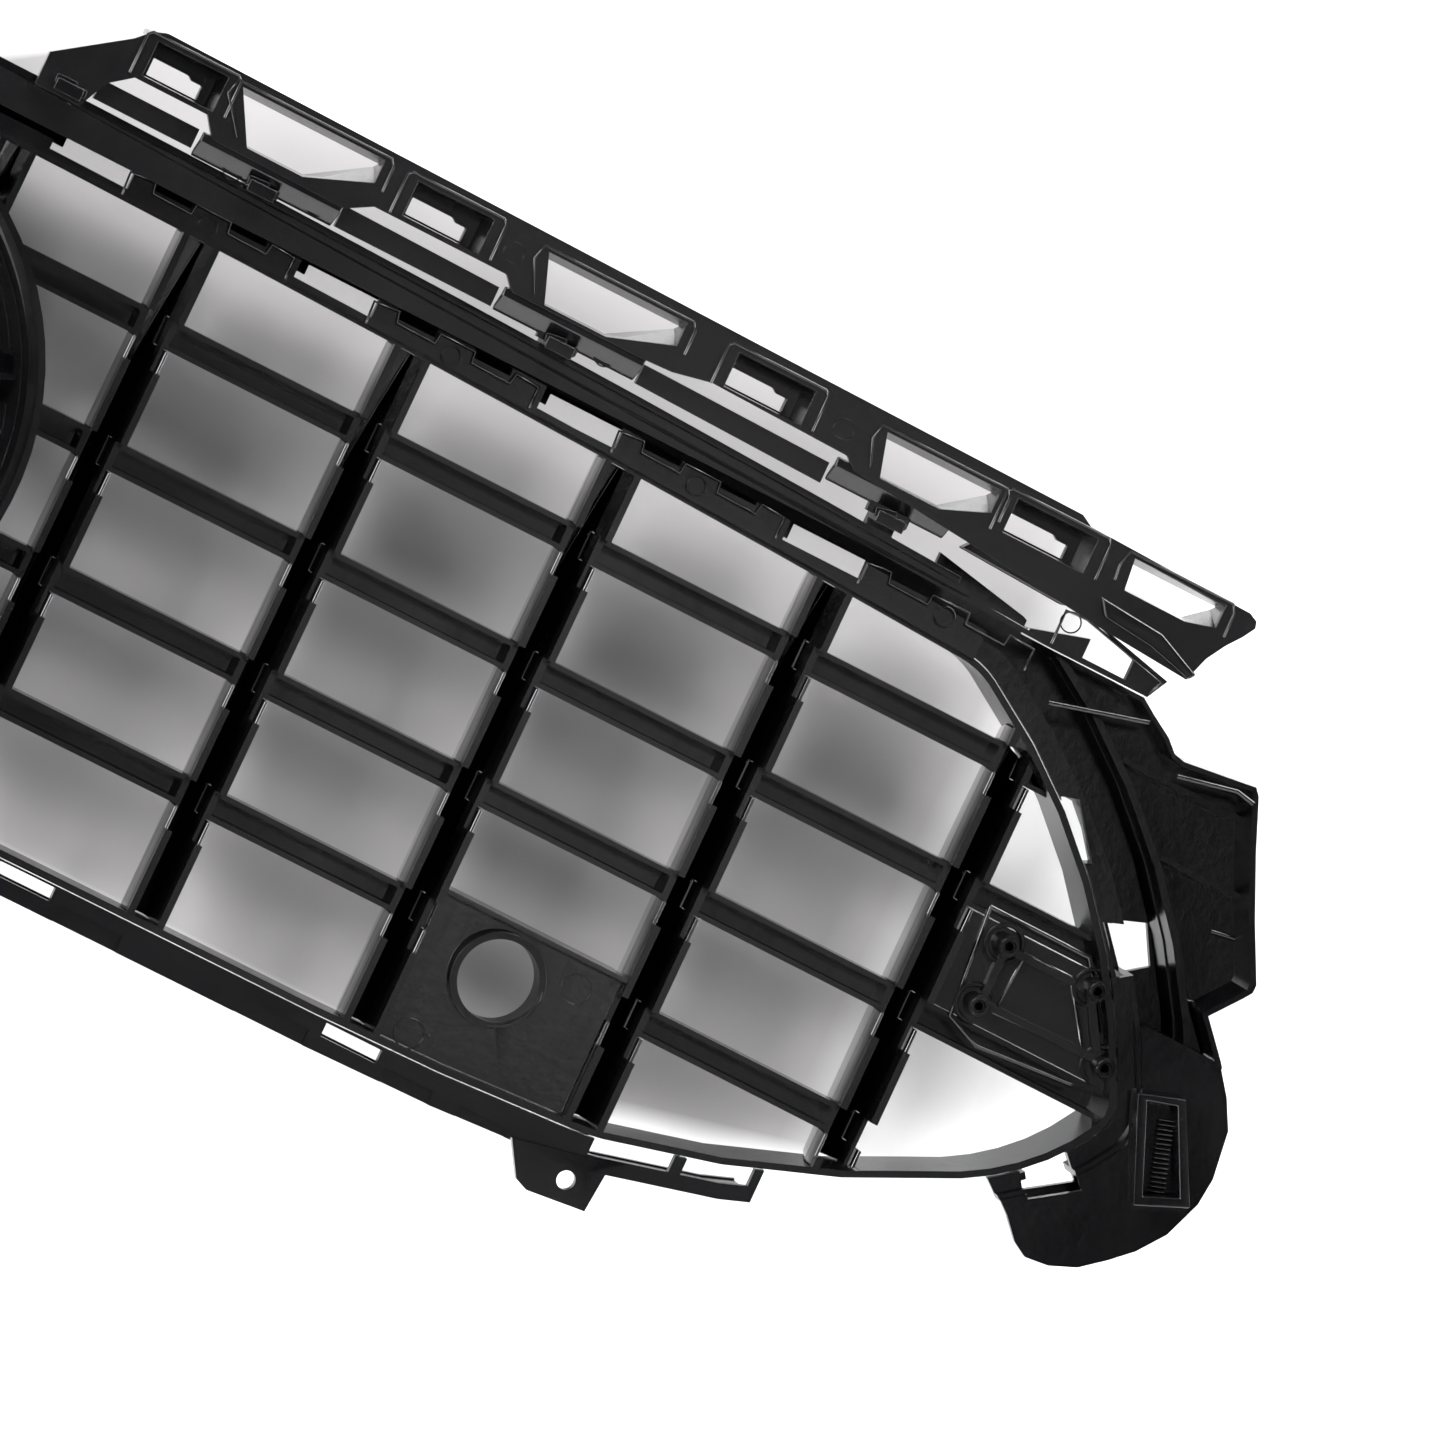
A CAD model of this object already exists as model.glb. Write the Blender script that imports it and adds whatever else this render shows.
"""Looks of a car's front grille, seen from behind: moulded black plastic insert, blades and bezel.

Sizes below are in millimetres on the grille's own face: x across, z up, and d, the depth behind
the rims of the lattice (minus is towards the road). on_face() turns them into places in metres.
"""
import math

import bmesh
import bpy
from mathutils import Matrix, Vector


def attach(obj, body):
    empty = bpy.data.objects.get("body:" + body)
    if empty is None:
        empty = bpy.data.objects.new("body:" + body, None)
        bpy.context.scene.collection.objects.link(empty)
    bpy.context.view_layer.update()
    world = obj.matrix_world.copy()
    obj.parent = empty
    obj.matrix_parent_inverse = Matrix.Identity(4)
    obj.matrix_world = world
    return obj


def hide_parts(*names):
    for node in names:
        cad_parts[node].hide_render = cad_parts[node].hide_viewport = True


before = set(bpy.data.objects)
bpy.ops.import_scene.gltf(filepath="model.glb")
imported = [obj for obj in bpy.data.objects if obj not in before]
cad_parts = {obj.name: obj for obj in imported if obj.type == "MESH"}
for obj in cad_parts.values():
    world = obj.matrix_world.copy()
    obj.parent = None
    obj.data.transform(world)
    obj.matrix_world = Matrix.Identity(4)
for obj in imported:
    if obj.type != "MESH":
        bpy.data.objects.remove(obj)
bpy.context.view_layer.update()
scene = bpy.context.scene
shelf = scene.collection

MM = 0.001
BOW = 1700.0
LEAN = math.radians(7.3)
MID_Z = 120.0
TAB_X = 371.0
FACE_Y = -(BOW - math.sqrt(BOW * BOW - TAB_X * TAB_X)) - MID_Z * math.tan(LEAN)
CLIP_PITCH = 94.5


def on_face(x, z, d):
    """Place in metres of a point on the bowed and leaning face."""
    local = BOW - math.sqrt((BOW - d) ** 2 - x * x)
    y = FACE_Y + local / math.cos(LEAN) - (z - MID_Z) * math.tan(LEAN)
    return Vector((x * MM, y * MM, z * MM))


# ---------------------------------------------------------------- outline of the lattice
OUTLINE_LEGS = [(1100, 5), (90, 12), (390, 30), (90, 62), (15, 112), (222, 150), (30, 177.3)]
OUTLINE_START = (270.0, 12.2)


def outline_half(inset, step=3.0):
    """Points of the outline's +x half, from the middle of its lower edge to its crown."""
    x, z, heading = OUTLINE_START[0], OUTLINE_START[1] + inset, 0.0
    pts = [(OUTLINE_START[0] * i / 8, z) for i in range(9)]
    for radius, end in OUTLINE_LEGS:
        r = radius - inset
        cx, cz = x - r * math.sin(math.radians(heading)), z + r * math.cos(math.radians(heading))
        n = max(2, int(math.ceil((end - heading) / step)))
        for i in range(1, n + 1):
            h = math.radians(heading + (end - heading) * i / n)
            x, z = cx + r * math.sin(h), cz - r * math.cos(h)
            pts.append((x, z))
        heading = end
    h = math.radians(heading)
    r0 = x / math.sin(h)
    cz = z + r0 * math.cos(h)
    for i in range(1, 13):
        a = h + (math.pi - h) * i / 12
        pts.append((r0 * math.sin(a), cz - r0 * math.cos(a)))
    return pts


# ---------------------------------------------------------------- camera
def place_camera():
    cam = bpy.data.cameras.new("camera")
    cam.sensor_width = 36.0
    cam.lens = 243.4
    cam.clip_end = 100.0
    holder = bpy.data.objects.new("camera", cam)
    shelf.objects.link(holder)
    yaw, rise, roll = math.radians(16.165), math.radians(1.603), math.radians(27.076)
    back = Vector((math.sin(yaw) * math.cos(rise), math.cos(yaw) * math.cos(rise), math.sin(rise)))
    aim = Vector((-0.363175, -0.05634, 0.162785))
    right = (-back).cross(Vector((0, 0, 1))).normalized()
    up = right.cross(-back)
    r2 = right * math.cos(roll) + up * math.sin(roll)
    u2 = -right * math.sin(roll) + up * math.cos(roll)
    turned = Matrix((r2, u2, back)).transposed().to_4x4()
    turned.translation = aim + back * 3.4
    holder.matrix_world = turned
    scene.camera = holder


place_camera()


# ---------------------------------------------------------------- materials
def new_material(name):
    mat = bpy.data.materials.new(name)
    mat.use_nodes = True
    nodes, links = mat.node_tree.nodes, mat.node_tree.links
    return mat, nodes, links, nodes["Principled BSDF"]


def noise_at(nodes, links, source, scale, detail=3.0, rough=0.55):
    tex = nodes.new("ShaderNodeTexNoise")
    tex.inputs["Scale"].default_value = scale
    tex.inputs["Detail"].default_value = detail
    tex.inputs["Roughness"].default_value = rough
    links.new(source, tex.inputs["Vector"])
    return tex.outputs["Fac"]


def spread(nodes, links, source, low, high, start=0.3, end=0.7):
    rng = nodes.new("ShaderNodeMapRange")
    rng.inputs["From Min"].default_value = start
    rng.inputs["From Max"].default_value = end
    rng.inputs["To Min"].default_value = low
    rng.inputs["To Max"].default_value = high
    links.new(source, rng.inputs["Value"])
    return rng.outputs["Result"]


def two_tone(nodes, links, factor, dark, light):
    mix = nodes.new("ShaderNodeMix")
    mix.data_type = "RGBA"
    links.new(factor, mix.inputs["Factor"])
    mix.inputs["A"].default_value = (*dark, 1)
    mix.inputs["B"].default_value = (*light, 1)
    return mix.outputs["Result"]


def bumped(nodes, links, height, strength, distance, normal=None):
    bump = nodes.new("ShaderNodeBump")
    bump.inputs["Strength"].default_value = strength
    bump.inputs["Distance"].default_value = distance
    links.new(height, bump.inputs["Height"])
    if normal is not None:
        links.new(normal, bump.inputs["Normal"])
    return bump.outputs["Normal"]


def moulded_plastic(name, dark, light, rough, grain, grain_depth, level=0.5, waves=0.0, coat=0.0):
    """Injection-moulded plastic: fine grain, cloudy flow marks, handling scuffs."""
    mat, nodes, links, bsdf = new_material(name)
    place = nodes.new("ShaderNodeTexCoord").outputs["Object"]
    cloud = noise_at(nodes, links, place, 22.0, 4.0)
    speck = noise_at(nodes, links, place, grain, 2.0, 0.6)
    tone = two_tone(nodes, links, spread(nodes, links, cloud, 0.0, 1.0), dark, light)
    links.new(tone, bsdf.inputs["Base Color"])
    stretch = nodes.new("ShaderNodeMapping")
    stretch.inputs["Scale"].default_value = (1.0, 1.0, 0.12)
    stretch.inputs["Rotation"].default_value = (0.0, 0.5, 0.0)
    links.new(place, stretch.inputs["Vector"])
    scuff = noise_at(nodes, links, stretch.outputs["Vector"], 240.0, 5.0, 0.7)
    mix = nodes.new("ShaderNodeMath")
    mix.operation = "ADD"
    links.new(spread(nodes, links, cloud, rough[0], rough[1]), mix.inputs[0])
    links.new(spread(nodes, links, scuff, 0.0, rough[2], 0.5, 0.75), mix.inputs[1])
    links.new(mix.outputs["Value"], bsdf.inputs["Roughness"])
    normal = bumped(nodes, links, speck, grain_depth, 0.0002)
    if waves:
        swell = noise_at(nodes, links, place, 300.0, 2.0, 0.5)
        normal = bumped(nodes, links, swell, waves, 0.0009, normal)
    links.new(normal, bsdf.inputs["Normal"])
    bsdf.inputs["Specular IOR Level"].default_value = level
    bsdf.inputs["Coat Weight"].default_value = coat
    bsdf.inputs["Coat Roughness"].default_value = 0.06
    return mat


def brushed_zinc(name):
    mat, nodes, links, bsdf = new_material(name)
    place = nodes.new("ShaderNodeTexCoord").outputs["Object"]
    grain = noise_at(nodes, links, place, 900.0, 4.0)
    links.new(two_tone(nodes, links, grain, (0.42, 0.42, 0.4), (0.66, 0.66, 0.62)),
              bsdf.inputs["Base Color"])
    links.new(spread(nodes, links, grain, 0.25, 0.45), bsdf.inputs["Roughness"])
    links.new(bumped(nodes, links, grain, 0.2, 0.0001), bsdf.inputs["Normal"])
    bsdf.inputs["Metallic"].default_value = 1.0
    return mat


insert_black = moulded_plastic("insert black, fine grain", (0.0010, 0.0010, 0.0012),
                               (0.0020, 0.0020, 0.0023), (0.17, 0.22, 0.05), 1500.0, 0.10,
                               level=0.40)
bezel_black = moulded_plastic("bezel black, fine grain", (0.0008, 0.0008, 0.0010),
                              (0.0016, 0.0016, 0.0019), (0.17, 0.22, 0.05), 1200.0, 0.10,
                              level=0.32)
carrier_black = moulded_plastic("carrier black, satin", (0.0014, 0.0014, 0.0016),
                                (0.0028, 0.0028, 0.0031), (0.19, 0.25, 0.05), 1800.0, 0.14,
                                level=0.40)
leather_black = moulded_plastic("lobe black, pebbled", (0.0008, 0.0008, 0.0010),
                                (0.0016, 0.0016, 0.0019), (0.15, 0.20, 0.04), 1500.0, 0.08,
                                level=0.34, waves=0.05)
gloss_black = moulded_plastic("piano black", (0.0006, 0.0006, 0.0008), (0.0014, 0.0014, 0.0017),
                              (0.06, 0.11, 0.06), 600.0, 0.03, level=0.5, waves=0.04, coat=0.3)
panel_black = moulded_plastic("panel black, polished", (0.0012, 0.0012, 0.0014),
                              (0.0024, 0.0024, 0.0027), (0.15, 0.21, 0.06), 700.0, 0.05,
                              level=0.5, waves=0.04)
zinc = brushed_zinc("zinc plated steel")


# ---------------------------------------------------------------- helpers for pieces
def finish_piece(name, mesh, material, stands_for=(), smooth=True, angle=35.0):
    obj = bpy.data.objects.new(name, mesh)
    shelf.objects.link(obj)
    mesh.materials.clear()
    mesh.materials.append(material)
    if smooth and "custom_normal" not in mesh.attributes:
        mesh.shade_smooth()
        mesh.set_sharp_from_angle(angle=math.radians(angle))
    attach(obj, "root")
    if stands_for:
        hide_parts(*stands_for)
    return obj


def mesh_from(name, bm):
    bmesh.ops.recalc_face_normals(bm, faces=bm.faces)
    mesh = bpy.data.meshes.new(name)
    bm.to_mesh(mesh)
    bm.free()
    return mesh


def baked(obj):
    """Turns an object with modifiers into a plain mesh."""
    graph = bpy.context.evaluated_depsgraph_get()
    mesh = bpy.data.meshes.new_from_object(obj.evaluated_get(graph))
    bpy.data.objects.remove(obj)
    return mesh


def rounded(mesh, width, segments=2, angle=28.0):
    """Softens every hard edge of a merged mesh; large flat faces keep their own normals."""
    mesh.shade_smooth()
    obj = bpy.data.objects.new("rounding", mesh)
    shelf.objects.link(obj)
    bevel = obj.modifiers.new("edge radius", "BEVEL")
    bevel.width = width * MM
    bevel.segments = segments
    bevel.limit_method = "ANGLE"
    bevel.angle_limit = math.radians(angle)
    bevel.use_clamp_overlap = True
    even = obj.modifiers.new("flat faces first", "WEIGHTED_NORMAL")
    even.weight = 100
    return baked(obj)


def plate_mesh(name, loops, d_front, d_rear, step=24.0):
    """Bowed plate: flat loops of (x, z), the first one outside and the rest holes."""
    bm = bmesh.new()
    for loop in loops:
        ring = [bm.verts.new((x, 0.0, z)) for x, z in loop]
        for i, v in enumerate(ring):
            bm.edges.new((v, ring[(i + 1) % len(ring)]))
    bmesh.ops.triangle_fill(bm, edges=bm.edges[:], use_beauty=True, normal=(0, 1, 0))
    low = min(v.co.x for v in bm.verts)
    high = max(v.co.x for v in bm.verts)
    for k in range(math.ceil(low / step), math.ceil(high / step)):
        bmesh.ops.bisect_plane(bm, geom=bm.verts[:] + bm.edges[:] + bm.faces[:], dist=0.01,
                               plane_co=(k * step, 0, 0), plane_no=(1, 0, 0))
    bm.verts.ensure_lookup_table()
    flat = [(v.co.x, v.co.z) for v in bm.verts]
    faces = [[v.index for v in f.verts] for f in bm.faces]
    rims = [[v.index for v in e.verts] for e in bm.edges if len(e.link_faces) == 1]
    bm.free()
    count = len(flat)
    verts = [on_face(x, z, d_rear) for x, z in flat] + [on_face(x, z, d_front) for x, z in flat]
    polys = faces + [[i + count for i in reversed(f)] for f in faces]
    polys += [[a, b, b + count, a + count] for a, b in rims]
    bm = bmesh.new()
    made = [bm.verts.new(v) for v in verts]
    for poly in polys:
        bm.faces.new([made[i] for i in poly])
    bmesh.ops.dissolve_limit(bm, angle_limit=math.radians(0.3), verts=bm.verts, edges=bm.edges)
    return mesh_from(name, bm)


def ring_mesh(name, rings):
    """Closed band through several loops of places, each with the same number of points."""
    bm = bmesh.new()
    made = [[bm.verts.new(p) for p in ring] for ring in rings]
    for k, ring in enumerate(made):
        after = made[(k + 1) % len(made)]
        for i in range(len(ring)):
            j = (i + 1) % len(ring)
            bm.faces.new((ring[i], ring[j], after[j], after[i]))
    return mesh_from(name, bm)


def joined(name, meshes):
    """One mesh from several, which are used up."""
    bm = bmesh.new()
    for mesh in meshes:
        bm.from_mesh(mesh)
        bpy.data.meshes.remove(mesh)
    mesh = bpy.data.meshes.new(name)
    bm.to_mesh(mesh)
    bm.free()
    return mesh


def flipped(loop, side):
    return [(x * side, z) for x, z in loop]


def grown(loop, by):
    """Loop pushed away from its middle by a distance."""
    cx = sum(x for x, z in loop) / len(loop)
    cz = sum(z for x, z in loop) / len(loop)
    out = []
    for x, z in loop:
        length = math.hypot(x - cx, z - cz)
        out.append((x + (x - cx) / length * by, z + (z - cz) / length * by))
    return out


def box_loop(x0, z0, x1, z1):
    return [(x0, z0), (x1, z0), (x1, z1), (x0, z1)]


# ---------------------------------------------------------------- Geometry Nodes builders
def new_tree(name, sockets):
    """A modifier's node tree with named inputs; sockets is a list of (name, type, default)."""
    tree = bpy.data.node_groups.new(name, "GeometryNodeTree")
    tree.interface.new_socket("Geometry", in_out="INPUT", socket_type="NodeSocketGeometry")
    tree.interface.new_socket("Geometry", in_out="OUTPUT", socket_type="NodeSocketGeometry")
    for label, kind, default in sockets:
        item = tree.interface.new_socket(label, in_out="INPUT", socket_type=kind)
        if default is not None:
            item.default_value = default
    return tree, tree.nodes.new("NodeGroupInput"), tree.nodes.new("NodeGroupOutput")


def bead_tree():
    """Raised lines: every edge of the guide becomes a bead with a square section."""
    tree, start, end = new_tree("raised bead", [("Width", "NodeSocketFloat", 0.001),
                                                ("Height", "NodeSocketFloat", 0.001),
                                                ("Finish", "NodeSocketMaterial", None)])
    make, link = tree.nodes.new, tree.links.new
    to_curve = make("GeometryNodeMeshToCurve")
    section = make("GeometryNodeCurvePrimitiveQuadrilateral")
    sweep = make("GeometryNodeCurveToMesh")
    sweep.inputs["Fill Caps"].default_value = True
    realize = make("GeometryNodeRealizeInstances")
    paint = make("GeometryNodeSetMaterial")
    link(start.outputs["Geometry"], to_curve.inputs["Mesh"])
    link(start.outputs["Width"], section.inputs["Width"])
    link(start.outputs["Height"], section.inputs["Height"])
    link(to_curve.outputs["Curve"], sweep.inputs["Curve"])
    link(section.outputs["Curve"], sweep.inputs["Profile Curve"])
    link(sweep.outputs["Mesh"], realize.inputs["Geometry"])
    link(realize.outputs["Geometry"], paint.inputs["Geometry"])
    link(start.outputs["Finish"], paint.inputs["Material"])
    link(paint.outputs["Geometry"], end.inputs["Geometry"])
    return tree


def scatter_tree(name, sockets, add_shape):
    """Puts a shape at every point of the guide, turned to face along its facing attribute."""
    tree, start, end = new_tree(name, sockets + [("Finish", "NodeSocketMaterial", None)])
    make, link = tree.nodes.new, tree.links.new
    facing = make("GeometryNodeInputNamedAttribute")
    facing.data_type = "FLOAT_VECTOR"
    facing.inputs["Name"].default_value = "facing"
    align = make("FunctionNodeAlignEulerToVector")
    align.axis = "Z"
    place = make("GeometryNodeInstanceOnPoints")
    realize = make("GeometryNodeRealizeInstances")
    paint = make("GeometryNodeSetMaterial")
    link(facing.outputs["Attribute"], align.inputs["Vector"])
    link(start.outputs["Geometry"], place.inputs["Points"])
    link(add_shape(make, link, start), place.inputs["Instance"])
    link(align.outputs["Rotation"], place.inputs["Rotation"])
    link(place.outputs["Instances"], realize.inputs["Geometry"])
    link(realize.outputs["Geometry"], paint.inputs["Geometry"])
    link(start.outputs["Finish"], paint.inputs["Material"])
    link(paint.outputs["Geometry"], end.inputs["Geometry"])
    return tree


def ring_shape(make, link, start):
    circle = make("GeometryNodeCurvePrimitiveCircle")
    circle.inputs["Resolution"].default_value = 40
    section = make("GeometryNodeCurvePrimitiveCircle")
    section.inputs["Resolution"].default_value = 6
    sweep = make("GeometryNodeCurveToMesh")
    link(start.outputs["Radius"], circle.inputs["Radius"])
    link(start.outputs["Section"], section.inputs["Radius"])
    link(circle.outputs["Curve"], sweep.inputs["Curve"])
    link(section.outputs["Curve"], sweep.inputs["Profile Curve"])
    return sweep.outputs["Mesh"]


def block_shape(make, link, start):
    cube = make("GeometryNodeMeshCube")
    link(start.outputs["Size"], cube.inputs["Size"])
    return cube.outputs["Mesh"]


def grow_from(tree, guide, settings):
    """Runs a node tree on a guide mesh and returns the plain mesh it makes."""
    obj = bpy.data.objects.new("guide", guide)
    shelf.objects.link(obj)
    mod = obj.modifiers.new("grow", "NODES")
    mod.node_group = tree
    for item in tree.interface.items_tree:
        if item.item_type == "SOCKET" and item.in_out == "INPUT" and item.name in settings:
            mod[item.identifier] = settings[item.name]
    return baked(obj)


def line_guide(lines):
    """Guide of open or closed lines of places."""
    mesh = bpy.data.meshes.new("lines")
    verts, edges = [], []
    for points, closed in lines:
        first = len(verts)
        verts += points
        edges += [(first + i, first + i + 1) for i in range(len(points) - 1)]
        if closed:
            edges.append((len(verts) - 1, first))
    mesh.from_pydata(verts, edges, [])
    return mesh


def point_guide(points, facings):
    mesh = bpy.data.meshes.new("points")
    mesh.from_pydata(points, [], [])
    layer = mesh.attributes.new("facing", "FLOAT_VECTOR", "POINT")
    for i, facing in enumerate(facings):
        layer.data[i].vector = facing
    return mesh


def rearward(x, z):
    """Unit vector square to the bowed face, towards the rear."""
    a = on_face(x + 1, z, 0) - on_face(x - 1, z, 0)
    b = on_face(x, z + 1, 0) - on_face(x, z - 1, 0)
    return b.cross(a).normalized() if b.cross(a).y > 0 else a.cross(b).normalized()


BEAD = bead_tree()
RING = scatter_tree("ejector ring", [("Radius", "NodeSocketFloat", 0.005),
                                     ("Section", "NodeSocketFloat", 0.0003)], ring_shape)
BLOCK = scatter_tree("small block", [("Size", "NodeSocketVector", None)], block_shape)


def beads(name, lines, material, width=0.8, height=0.8):
    guide = line_guide(lines)
    mesh = grow_from(BEAD, guide, {"Width": width * MM, "Height": height * MM,
                                   "Finish": material})
    return finish_piece(name, mesh, material, smooth=False)


def face_line(points, d, closed=False, step=12.0):
    """Line on the face through (x, z) points, with extra points along its long stretches."""
    out = []
    last = len(points) if closed else len(points) - 1
    for i in range(last):
        (x0, z0), (x1, z1) = points[i], points[(i + 1) % len(points)]
        n = max(1, int(math.hypot(x1 - x0, z1 - z0) / step))
        out += [on_face(x0 + (x1 - x0) * k / n, z0 + (z1 - z0) * k / n, d) for k in range(n)]
    if not closed:
        out.append(on_face(points[-1][0], points[-1][1], d))
    return out, closed


def rings_on(name, places, radius, section, material):
    """Ejector rings at (x, z, d) places."""
    guide = point_guide([on_face(*p) for p in places], [rearward(p[0], p[1]) for p in places])
    mesh = grow_from(RING, guide, {"Radius": radius * MM, "Section": section * MM,
                                   "Finish": material})
    return finish_piece(name, mesh, material)


def blocks_on(name, places, size, material, facing=None):
    guide = point_guide([on_face(*p) for p in places],
                        [facing or rearward(p[0], p[1]) for p in places])
    mesh = grow_from(BLOCK, guide, {"Size": [s * MM for s in size], "Finish": material})
    return finish_piece(name, rounded(mesh, 0.25, 1), material)


# ---------------------------------------------------------------- rounded copies of CAD nodes
def depth_of(co):
    """Depth d in millimetres behind the rims of a place in metres."""
    x, z = co.x / MM, co.z / MM
    local = (co.y / MM - FACE_Y + (z - MID_Z) * math.tan(LEAN)) * math.cos(LEAN)
    return BOW - math.hypot(BOW - local, x)


def rounded_node(node, width, material, wide=0.0, wide_where=None):
    """A rounded copy of a CAD node, with a wider radius on the edges that wide_where picks."""
    bm = bmesh.new()
    bm.from_mesh(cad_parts[node].data)
    bmesh.ops.remove_doubles(bm, verts=bm.verts, dist=0.00002)
    bmesh.ops.dissolve_degenerate(bm, edges=bm.edges, dist=0.00005)
    bmesh.ops.dissolve_limit(bm, angle_limit=math.radians(0.4), verts=bm.verts, edges=bm.edges)
    if wide:
        chosen = [e for e in bm.edges if len(e.link_faces) == 2
                  and math.degrees(e.calc_face_angle(0)) > 40
                  and all(wide_where(v.co) for v in e.verts)]
        bmesh.ops.bevel(bm, geom=chosen, offset=wide * MM, offset_type="OFFSET", segments=5,
                        profile=0.5, affect="EDGES", clamp_overlap=True)
        bmesh.ops.remove_doubles(bm, verts=bm.verts, dist=0.00002)
    mesh = bpy.data.meshes.new(node)
    bm.to_mesh(mesh)
    bm.free()
    return finish_piece(node + "_moulding", rounded(mesh, width), material, [node])


rounded_node("lattice", 0.35, insert_black)
for side in ("left", "right"):
    for k in range(1, 6):
        rounded_node("blade_%s_%d" % (side, k), 0.4, gloss_black)
    for end_name in ("top", "bottom"):
        rounded_node("blade_stub_%s_%s" % (end_name, side), 0.3, gloss_black)


BEZEL_FRONT = -27.0


def on_front(co):
    return depth_of(co) < BEZEL_FRONT


def on_front_or_lobe(co):
    """The hoop's front edges and the outer edge of the raised lobe plate."""
    x, z, d = abs(co.x) / MM, co.z / MM, depth_of(co)
    outside = x > 547.5 or (z < 66 and x > 500) or (x > 538 and z < 70)
    return d < BEZEL_FRONT or (5.5 < d < 7.5 and z < 137 and outside)


rounded_node("bezel_top", 0.5, bezel_black, 5.0, on_front)
rounded_node("bezel_bottom", 0.4, bezel_black, 4.0, on_front)
for side in ("left", "right"):
    rounded_node("bezel_" + side, 0.5, leather_black, 4.5, on_front_or_lobe)
    rounded_node("latch_box_" + side, 0.6, bezel_black)
rounded_node("sensor_panel", 0.35, panel_black)
rounded_node("module_bracket", 0.3, carrier_black)
rounded_node("emblem_base", 0.4, insert_black)


# ---------------------------------------------------------------- upper carrier
CARRIER_REAR = 15.0
CARRIER_FRONT = -2.0
FLANGE_D = (8.2, 10.7)
FLANGE_INSET = -19.2
# Outline of the +x half of the beam's face, as (x, z) points
BEAM = [(45, 252), (45, 257), (45, 264), (57, 272.5), (69, 281), (74, 286), (79, 287.8),
        (200, 286.6), (320, 285.2), (430, 284), (434, 281.6), (494, 280), (497, 278.4),
        (497.6, 276), (495, 271.5), (491, 266), (487, 259), (484, 249.5), (450, 252), (404, 257),
        (354, 261.4), (350, 265), (298, 266.2), (284, 263.2), (272, 262.6), (223, 262.6),
        (219, 267.2), (168, 267.2), (159, 262), (108, 262.4), (103, 269.2), (75, 269.2),
        (67, 263), (62, 252)]
# Openings of the truss: left, right, lower right, lower left, top, bottom
TRUSS = [(111, 162, 140, 121, 281, 266), (230, 279, 257, 236, 278.5, 264.5),
         (360, 399, 384, 364, 276.5, 264), (453, 483, 474, 454, 276.5, 268)]
# Slotted pockets: left, right, bottom, top
POCKETS = [(77, 104, 271, 284), (178, 207, 269, 282), (302, 331, 267, 280), (408, 438, 266, 279)]
# Slots of the bezel's hooks: middle, bottom, top
HOOKS = [(56, 255.5, 261.5), (130.5, 254.5, 261), (245.5, 253, 259.5), (372, 251.5, 258.5)]
# Upper outline of the flange, notched below the pockets
FLANGE = [(0, 264), (60, 263.8), (66, 263.7), (66, 256.5), (103.5, 256.5), (103.5, 263.6),
          (125, 263.5), (159.5, 263), (159.5, 255), (219.5, 255), (219.5, 262.2), (262, 261.5),
          (275.5, 261.3), (275.5, 254), (346.5, 252.5), (346.5, 260.2), (384, 259.5),
          (420, 256.8), (447, 254), (480, 246), (476, 238), (438, 238)]
# Section, as (z, d) points, of the webs that lead from the beam down to the flange
WEB = [(263.6, 14.6), (260.2, 14.9), (255.4, 10.6), (254.2, 9.4), (257.0, 9.6), (261.0, 12.4),
       (263.6, 12.6)]


def swept(name, x0, x1, section, step=12.0):
    """Bar along x with a section given as (z, d) points."""
    n = max(2, int(abs(x1 - x0) / step))
    bm = bmesh.new()
    rows = [[bm.verts.new(on_face(x0 + (x1 - x0) * i / n, z, d)) for z, d in section]
            for i in range(n + 1)]
    for a, b in zip(rows, rows[1:]):
        for i in range(len(section)):
            j = (i + 1) % len(section)
            bm.faces.new((a[i], a[j], b[j], b[i]))
    bm.faces.new(rows[0])
    bm.faces.new(list(reversed(rows[-1])))
    return mesh_from(name, bm)


def truss_outer(t):
    """Mouth of a truss well at the beam's face."""
    xl, xr, br, bl, top, low = t
    return [(xl - 1.2, top + 2.2), (xr + 2.6, top + 2.2), (xr + 2.6, top - 6.5),
            (br + 1.5, low - 0.8), (bl - 1.0, low - 0.7)]


def truss_inner(t):
    """See-through edge at the bottom of a truss well."""
    xl, xr, br, bl, top, low = t
    return [(xl - 2.0, top), (xr + 4.9, top), (xr + 3.6, top - 1.6), (br + 4.9, low),
            (bl - 1.5, low)]


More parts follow.
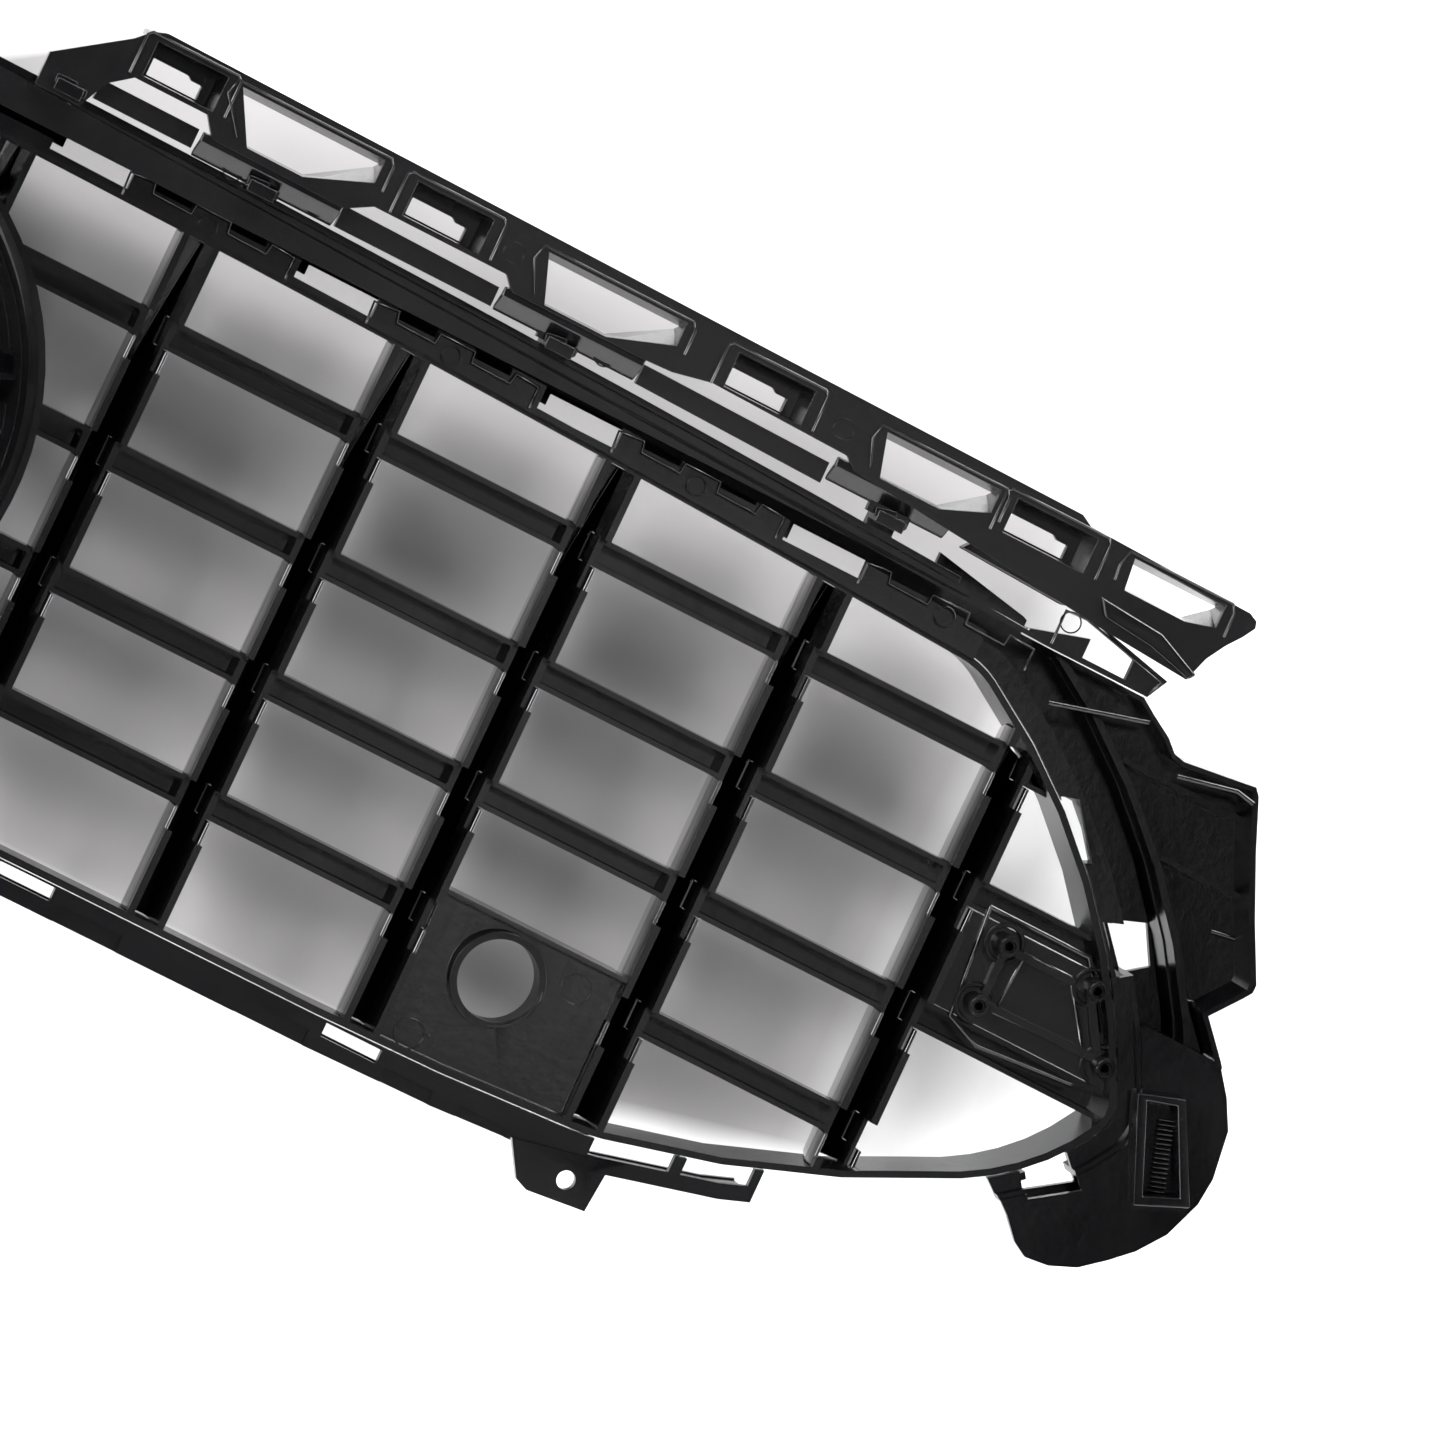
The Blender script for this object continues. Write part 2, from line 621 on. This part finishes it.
def build_carrier():
    """Truss beam with wells, slotted pockets and folded ends, on its slotted flange."""
    meshes = []
    lower = [p for p in outline_half(FLANGE_INSET) if 0 < p[0] < 431 and p[1] > 200]
    for side in (1, -1):
        holes = [truss_outer(t) for t in TRUSS]
        holes += [box_loop(p[0], p[2], p[1], p[3]) for p in POCKETS]
        loops = [flipped(loop, side) for loop in [BEAM] + holes]
        meshes.append(rounded(plate_mesh("beam face", loops, CARRIER_REAR - 2.4, CARRIER_REAR),
                              0.5))
        for t in TRUSS:
            o, i = flipped(truss_outer(t), side), flipped(truss_inner(t), side)
            o2, i2 = grown(o, 1.7), grown(i, 1.7)
            rings = [[on_face(x, z, CARRIER_REAR - 0.5) for x, z in o],
                     [on_face(x, z, CARRIER_FRONT) for x, z in i],
                     [on_face(x, z, CARRIER_FRONT) for x, z in i2],
                     [on_face(x, z, CARRIER_REAR - 0.5) for x, z in o2]]
            meshes.append(rounded(ring_mesh("truss well", rings), 0.4))
        for p in POCKETS:
            o = flipped(box_loop(p[0], p[2], p[1], p[3]), side)
            i = flipped(box_loop(p[0] + 1.2, p[2] + 0.4, p[1] - 0.6, p[3] - 1.2), side)
            rings = [[on_face(x, z, CARRIER_REAR - 0.5) for x, z in o],
                     [on_face(x, z, -0.5) for x, z in i],
                     [on_face(x, z, -0.5) for x, z in grown(i, 1.6)],
                     [on_face(x, z, CARRIER_REAR - 0.5) for x, z in grown(o, 1.6)]]
            meshes.append(rounded(ring_mesh("pocket wall", rings), 0.3))
            slot = [(p[0] + 4, p[2] + 1), (p[1] - 4, p[2] + 1), (p[1] - 4, p[2] + 6.0),
                    (p[1] - 8, p[2] + 6.0), (p[1] - 9.5, p[2] + 7.2), (p[0] + 4, p[2] + 7.2)]
            floor = [flipped(box_loop(p[0] - 0.4, p[2] - 0.6, p[1] + 0.6, p[3] + 0.4), side),
                     flipped(slot, side)]
            meshes.append(rounded(plate_mesh("pocket floor", floor, CARRIER_FRONT, 0.4), 0.3))
        top_edge = BEAM[5:10]
        wall = top_edge + [(x, z - 2.2) for x, z in reversed(top_edge)]
        meshes.append(rounded(plate_mesh("top wall", [flipped(wall, side)], CARRIER_FRONT,
                                         CARRIER_REAR - 0.4), 0.4))
        end_wall = [(434, 281.6), (494, 280), (497, 278.4), (497.6, 276), (495, 271.5),
                    (491, 266), (487, 259), (484, 253), (481.7, 254.2), (484.7, 260.2),
                    (488.8, 267.2), (493, 273), (494.6, 276), (493, 277.6), (434, 279.4)]
        meshes.append(rounded(plate_mesh("end wall", [flipped(end_wall, side)], CARRIER_FRONT,
                                         CARRIER_REAR - 0.4), 0.4))
        # folds that lead from the beam's end down to the flange
        fold = [(446, 262), (470, 260), (486, 252.5), (484, 249.8), (468, 254), (450, 256)]
        meshes.append(rounded(plate_mesh("end fold", [flipped(fold, side)], 8.5, 17.2), 0.9))
        foot = [(404, 262), (446, 260), (449, 256.5), (436, 252.8), (398, 254.5)]
        meshes.append(rounded(plate_mesh("flange fold", [flipped(foot, side)], 8.5, 14.0), 1.2))
        for x0, x1 in ((104.5, 158.5), (220.5, 274.5), (347.5, 392)):
            meshes.append(rounded(swept("web", x0 * side, x1 * side, WEB), 0.5))
    outer = FLANGE + [p for p in reversed(lower)]
    loop = outer + [(-x, z) for x, z in reversed(outer) if x > 0.5]
    loops = [loop]
    for side in (1, -1):
        loops += [flipped(box_loop(h[0] - 7.5, h[1], h[0] + 7.5, h[2]), side) for h in HOOKS]
        loops.append(flipped(box_loop(451, 240, 467, 247), side))
    meshes.append(rounded(plate_mesh("flange", loops, *FLANGE_D), 0.4))
    return finish_piece("upper_carrier_moulding", joined("upper carrier", meshes), carrier_black,
                        ["upper_carrier"])


build_carrier()


# Raised border lines on the carrier's face
def carrier_lines():
    lines = []
    for side in (1, -1):
        for t in TRUSS:
            xl, xr, br, bl, top, low = t
            border = [(bl - 5.5, low + 1), (xl - 5, top - 2), (xl - 3.5, top + 3.6),
                      (xr + 4.5, top + 3.6), (xr + 6.2, top + 1), (xr + 6.2, top - 8)]
            lines.append(face_line(flipped(border, side), CARRIER_REAR + 0.1))
        for p in POCKETS:
            border = [(p[0] - 4.5, p[2] - 1), (p[0] - 4.5, p[3] + 0.5), (p[0] - 3, p[3] + 2),
                      (p[1] + 3, p[3] + 2), (p[1] + 4.5, p[3] + 0.5), (p[1] + 4.5, p[2])]
            lines.append(face_line(flipped(border, side), CARRIER_REAR + 0.1))
        lines.append(face_line(flipped([(439.5, 239.5), (439.5, 252), (447, 252.5),
                                        (478.5, 244.8), (475.5, 239.2)], side), 10.9))
    return lines


beads("carrier_border_beads", carrier_lines(), carrier_black, 0.9, 0.9)


# ---------------------------------------------------------------- details
rings_on("carrier_ejector_marks", [(s * x, z, d) for s in (1, -1) for x, z, d in
                                   ((218, 275, 15.0), (345, 272.6, 15.0), (120, 256.6, 10.8),
                                    (151, 258.6, 10.8), (262, 257.6, 10.8), (442.5, 249, 10.9))],
         3.6, 0.28, carrier_black)
rings_on("land_ejector_marks", [(s * (121 + CLIP_PITCH * i), 235.6 - 1.5 * i, 8.0)
                                for s in (1, -1) for i in range(4)], 3.4, 0.28, insert_black)
rings_on("panel_ejector_marks", [(-349, 59, -6.0), (-304, 20, -6.0)], 5.2, 0.3, panel_black)
rings_on("sensor_window_lip", [(-323, 50, -5.9)], 16.2, 0.75, panel_black)
def boss_places():
    """Ends of the four screw bosses: the inner two share a plane, each outer one has its own."""
    bosses = [(471.5, 140, 471.5, 128.5, 3), (471.5, 117, 471.5, 128.5, 3),
              (505, 140, 505, 140, 2), (518, 117.5, 518, 117.5, 1)]
    return [Vector((-x * MM, on_face(at_x, at_z, 0).y + rise * MM, z * MM))
            for x, z, at_x, at_z, rise in bosses]


def boss_rims():
    places = boss_places()
    guide = point_guide(places, [Vector((0, 1, 0))] * 4)
    mesh = grow_from(RING, guide, {"Radius": 2.7 * MM, "Section": 0.75 * MM,
                                   "Finish": carrier_black})
    finish_piece("module_boss_rims", mesh, carrier_black)
    guide = point_guide([p - Vector((0, 7 * MM, 0)) for p in places], [Vector((0, 1, 0))] * 4)
    mesh = grow_from(RING, guide, {"Radius": 6.6 * MM, "Section": 0.9 * MM,
                                   "Finish": carrier_black})
    finish_piece("module_boss_recess_rims", mesh, carrier_black)


boss_rims()
beads("module_plate_ridge", [
    face_line([(-463, 149), (-466, 109), (-478, 104), (-512, 107)], -5.2),
    face_line([(-480, 140), (-497, 140), (-511, 119), (-479, 117)], -5.2, closed=True),
    face_line([(-463, 149), (-500, 149), (-514, 128)], -5.2)], carrier_black, 1.0, 1.6)


def land_borders():
    """Raised edge line along each land of the castellated flange."""
    lines = []
    for s in (1, -1):
        for i in range(4):
            mid, drop = 121 + CLIP_PITCH * i, 1.5 * i
            shape = [(-31.5, 232), (-32, 240), (-22.5, 241), (-21.8, 237), (-7.2, 236.6),
                     (-6.8, 240.6), (6.8, 240.4), (7.2, 236.4), (21.8, 236), (22.5, 240),
                     (31.5, 239.4), (31.5, 231.5)]
            lines.append(face_line([(s * (mid + x), z - drop) for x, z in shape], 8.1))
    return lines


beads("land_border_beads", land_borders(), insert_black, 0.7, 0.7)


def hook_noses():
    places = []
    for s in (1, -1):
        for x, z0, z1 in HOOKS:
            places += [(s * (x - 1.6), z0 + 1.6, 12.6), (s * (x + 2.6), z0 + 0.4, 13.4)]
    return places


blocks_on("hook_noses", hook_noses(), (7.6, 3.2, 5.2), bezel_black)
for side, s in (("left", -1), ("right", 1)):
    ribs = [(s * (547.2 - 0.46 * k), 88.5 + 1.55 * k, 9.6) for k in range(16)]
    blocks_on("latch_serrations_" + side, ribs, (5.6, 0.75, 3.4), bezel_black)
    beads("wing_ridges_" + side, [
        face_line([(s * 448, 221), (s * 481, 230.6)], 8.0),
        face_line([(s * 497, 218.6), (s * 517, 223.4), (s * 523.5, 222)], 7.9),
        face_line([(s * 534, 176), (s * 545, 178)], -9.2),
        face_line([(s * 534, 150), (s * 541, 152)], -9.2)], leather_black, 1.3, 1.6)
rounded_node("badge_plate", 0.8, gloss_black)
rounded_node("badge_ring", 0.8, gloss_black)


# ---------------------------------------------------------------- CAD nodes that stay
for node_name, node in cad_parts.items():
    look = gloss_black
    if node_name.startswith(("lattice", "emblem")):
        look = insert_black
    elif node_name.startswith(("bezel", "latch")):
        look = bezel_black
    elif node_name in ("upper_carrier", "module_bracket"):
        look = carrier_black
    elif node_name == "sensor_panel":
        look = panel_black
    elif node_name == "badge_screws":
        look = zinc
    node.data.materials.clear()
    node.data.materials.append(look)


# ---------------------------------------------------------------- paper, floor and light
SHADED = (0.335, 0.328, 0.33, 1)


def paper_material(name, see_through_behind):
    """Pale matt paper. The backdrop is only there for someone who looks at its front."""
    mat, nodes, links, bsdf = new_material(name)
    place = nodes.new("ShaderNodeTexCoord").outputs["Object"]
    fibre = noise_at(nodes, links, place, 60.0, 4.0)
    white = two_tone(nodes, links, fibre, (0.86, 0.86, 0.86), (0.90, 0.90, 0.90))
    links.new(white, bsdf.inputs["Base Color"])
    if see_through_behind:
        # a shade painted inside the grille's outline, for the shadow that it would throw
        split = nodes.new("ShaderNodeSeparateXYZ")
        links.new(place, split.inputs["Vector"])
        off = nodes.new("ShaderNodeMath")
        off.operation = "ABSOLUTE"
        links.new(split.outputs["X"], off.inputs[0])
        cuts = []
        for slope in (-0.7, -0.25):
            cut = nodes.new("ShaderNodeMath")
            cut.operation = "MULTIPLY_ADD"
            links.new(off.outputs["Value"], cut.inputs[0])
            cut.inputs[1].default_value = slope
            links.new(split.outputs["Z"], cut.inputs[2])
            cuts.append(cut.outputs["Value"])
        shade = None
        for value, start, end, low, high in ((off.outputs["Value"], 0.445, 0.50, 1.0, 0.0),
                                             (split.outputs["Z"], 0.004, 0.014, 0.0, 1.0),
                                             (split.outputs["Z"], 0.281, 0.290, 1.0, 0.0),
                                             (cuts[0], 0.222, 0.229, 1.0, 0.0),
                                             (cuts[1], -0.0785, -0.0685, 0.0, 1.0)):
            part = spread(nodes, links, value, low, high, start, end)
            if shade is not None:
                times = nodes.new("ShaderNodeMath")
                times.operation = "MULTIPLY"
                links.new(shade, times.inputs[0])
                links.new(part, times.inputs[1])
                part = times.outputs["Value"]
            shade = part
        dim = nodes.new("ShaderNodeMix")
        dim.data_type = "RGBA"
        links.new(shade, dim.inputs["Factor"])
        links.new(white, dim.inputs["A"])
        dim.inputs["B"].default_value = SHADED
        links.new(dim.outputs["Result"], bsdf.inputs["Base Color"])
    bsdf.inputs["Roughness"].default_value = 0.9
    bsdf.inputs["Specular IOR Level"].default_value = 0.1
    if see_through_behind:
        clear = nodes.new("ShaderNodeBsdfTransparent")
        side = nodes.new("ShaderNodeNewGeometry")
        mix = nodes.new("ShaderNodeMixShader")
        links.new(side.outputs["Backfacing"], mix.inputs["Fac"])
        links.new(bsdf.outputs["BSDF"], mix.inputs[1])
        links.new(clear.outputs["BSDF"], mix.inputs[2])
        links.new(mix.outputs["Shader"], nodes["Material Output"].inputs["Surface"])
    return mat


def stage_sheet(name, columns, material, casts=True):
    """Sheet through pairs of a lower and an upper place."""
    mesh = bpy.data.meshes.new(name)
    verts = [p for pair in columns for p in pair]
    mesh.from_pydata(verts, [], [(2 * i, 2 * i + 1, 2 * i + 3, 2 * i + 2)
                                 for i in range(len(columns) - 1)])
    mesh.shade_smooth()
    obj = bpy.data.objects.new(name, mesh)
    shelf.objects.link(obj)
    mesh.materials.append(material)
    obj.visible_shadow = casts


PAPER_D = -52
PAPER_BEND = 560.0


def paper_column(x):
    """Foot and head of the paper at x in millimetres, close in front of the blades' noses."""
    held = max(-PAPER_BEND, min(PAPER_BEND, x))
    slope = (on_face(held + 1, MID_Z, PAPER_D).y - on_face(held - 1, MID_Z, PAPER_D).y) / 2
    out = []
    for z in (-600, 3500):
        p = on_face(held, z, PAPER_D)
        out.append((x * MM, p.y + slope * (x - held), p.z))
    return out


PAPER_X = [-4000, -2500, -1400, -800] + list(range(-560, 561, 40)) + [800, 1400, 2500, 4000]
stage_sheet("paper backdrop", [paper_column(x) for x in PAPER_X],
            paper_material("pale paper", True), casts=False)
FLOOR_Z = -0.62
stage_sheet("pale floor", [((x, -30, FLOOR_Z), (x, 30, FLOOR_Z)) for x in (-30, 30)],
            paper_material("pale floor", False))


def soft_box(name, place, aim, width, height, power):
    lamp = bpy.data.lights.new(name, "AREA")
    lamp.shape = "RECTANGLE"
    lamp.size, lamp.size_y = width, height
    lamp.energy = power
    obj = bpy.data.objects.new(name, lamp)
    shelf.objects.link(obj)
    direction = Vector(place) - Vector(aim)
    turned = direction.to_track_quat("Z", "Y").to_matrix().to_4x4()
    turned.translation = Vector(place)
    obj.matrix_world = turned


MIDDLE = (-0.2, -0.05, 0.14)
soft_box("soft box on the left, low", (3.4, 1.7, 0.7), MIDDLE, 1.6, 1.6, 270)
soft_box("soft box on the right, low", (-3.4, 1.6, 0.9), MIDDLE, 1.6, 1.6, 210)
soft_box("soft box above", (-0.5, 1.4, 3.4), MIDDLE, 2.4, 1.0, 270)
soft_box("weak box beside the camera", (0.05, 3.35, 0.92), MIDDLE, 0.6, 0.6, 1.6)
soft_box("soft box in front, left", (-2.6, -3.2, 1.8), MIDDLE, 2.4, 2.4, 80)
soft_box("soft box in front, right", (2.8, -3.0, 1.4), MIDDLE, 2.2, 2.2, 60)

world = bpy.data.worlds.new("white room")
scene.world = world
world.use_nodes = True
sky_nodes, sky_links = world.node_tree.nodes, world.node_tree.links
back = sky_nodes["Background"]
back.inputs["Color"].default_value = (1, 1, 1, 1)
ray = sky_nodes.new("ShaderNodeLightPath")
glow = spread(sky_nodes, sky_links, ray.outputs["Is Camera Ray"], 0.02, 1.0, 0.0, 1.0)
sky_links.new(glow, back.inputs["Strength"])
scene.view_settings.view_transform = "Standard"
scene.view_settings.look = "None"
